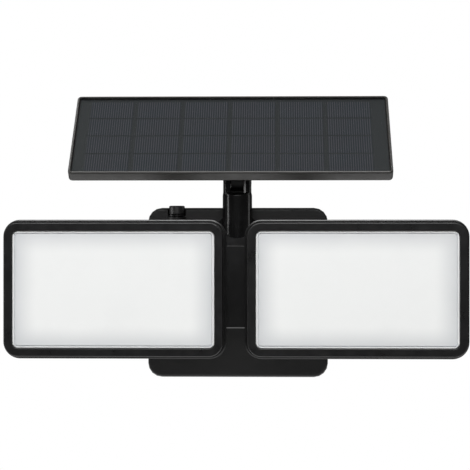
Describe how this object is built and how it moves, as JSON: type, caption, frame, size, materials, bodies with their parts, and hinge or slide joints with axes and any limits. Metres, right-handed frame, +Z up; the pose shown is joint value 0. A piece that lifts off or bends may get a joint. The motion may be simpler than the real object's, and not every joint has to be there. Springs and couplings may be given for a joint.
{
  "type": "solar flood light",
  "caption": "Wall-mounted solar flood light with swivelling rectangular lamp heads on a square box, a push button, and a solar panel that turns and tilts on a short mast.",
  "frame": {"origin": "middle of the flat rear face of the wall box, on the wall plane", "axes": "+Y into the wall, -Y the way the light faces, +X to the right for someone facing the light, +Z up"},
  "size_m": [0.3772, 0.118, 0.2426],
  "materials": {
    "black_plastic": "satin black moulded plastic",
    "black_rubber": "matte black rubber",
    "steel": "plain steel",
    "black_steel": "blackened steel",
    "cell_wrap": "blue shrink wrap",
    "circuit_board": "green circuit board",
    "led_board": "white coated",
    "silicon": "dark slate solar cells",
    "clear_glass": "clear",
    "milky_plastic": "milky white diffuser"
  },
  "bodies": {
    "base": {"back_cover": "black_plastic", "box_housing": "black_plastic", "box_gasket": "black_rubber", "cover_screw_1": "steel", "cover_screw_2": "steel", "cover_screw_3": "steel", "cover_screw_4": "steel", "battery_holder": "black_plastic", "battery_cell_1": "cell_wrap", "battery_cell_2": "cell_wrap", "control_board": "circuit_board", "power_switch": "black_plastic", "button_collar": "black_plastic", "joint_block": "black_plastic", "block_screw_1": "steel", "block_screw_2": "steel", "block_screw_3": "steel", "block_screw_4": "steel", "left_pan_bolt": "black_steel", "left_pan_nut": "black_steel", "right_pan_bolt": "black_steel", "right_pan_nut": "black_steel"},
    "button": {"button_cap": "black_rubber"},
    "mast": {"mast_post": "black_plastic", "mast_washer": "steel", "mast_nut": "black_steel", "panel_tilt_bolt": "black_steel", "panel_tilt_nut": "black_steel"},
    "panel": {"panel_neck": "black_plastic", "neck_screw_1": "steel", "neck_screw_2": "steel", "panel_tray": "black_plastic", "solar_cells": "silicon", "panel_glass": "clear_glass"},
    "left_swivel": {"left_knuckle": "black_plastic"},
    "left_head": {"left_shell": "black_plastic", "left_bezel": "black_plastic", "left_lens": "milky_plastic", "left_lens_seal": "black_rubber", "left_led_board": "led_board", "left_head_screw_1": "steel", "left_head_screw_2": "steel", "left_head_screw_3": "steel", "left_head_screw_4": "steel", "left_tilt_bolt": "black_steel", "left_tilt_nut": "black_steel"},
    "right_swivel": {"right_knuckle": "black_plastic"},
    "right_head": {"right_shell": "black_plastic", "right_bezel": "black_plastic", "right_lens": "milky_plastic", "right_lens_seal": "black_rubber", "right_led_board": "led_board", "right_head_screw_1": "steel", "right_head_screw_2": "steel", "right_head_screw_3": "steel", "right_head_screw_4": "steel", "right_tilt_bolt": "black_steel", "right_tilt_nut": "black_steel"}
  },
  "joints": [
    {"name": "button_press", "type": "slide", "parent": "base", "child": "button", "axis": [0, 0, -1], "range_m": [0, 0.0025], "stiffness_N_per_m": 400, "springref_m": -0.001},
    {"name": "mast_pan", "type": "hinge", "parent": "base", "child": "mast", "pos_m": [0, -0.045, 0.05], "axis": [0, 0, 1], "range_deg": [-90, 90]},
    {"name": "panel_tilt", "type": "hinge", "parent": "mast", "child": "panel", "pos_m": [0, -0.045, 0.0953], "axis": [1, 0, 0], "range_deg": [-46.5, 33]},
    {"name": "left_head_pan", "type": "hinge", "parent": "base", "child": "left_swivel", "pos_m": [-0.058, -0.054, 0.0055], "axis": [0, 0, -1], "range_deg": [-6, 35]},
    {"name": "left_head_tilt", "type": "hinge", "parent": "left_swivel", "child": "left_head", "pos_m": [-0.058, -0.08, 0.0055], "axis": [1, 0, 0], "range_deg": [-25, 30]},
    {"name": "right_head_pan", "type": "hinge", "parent": "base", "child": "right_swivel", "pos_m": [0.058, -0.054, 0.0055], "axis": [0, 0, 1], "range_deg": [-6, 35]},
    {"name": "right_head_tilt", "type": "hinge", "parent": "right_swivel", "child": "right_head", "pos_m": [0.058, -0.08, 0.0055], "axis": [1, 0, 0], "range_deg": [-25, 30]}
  ]
}
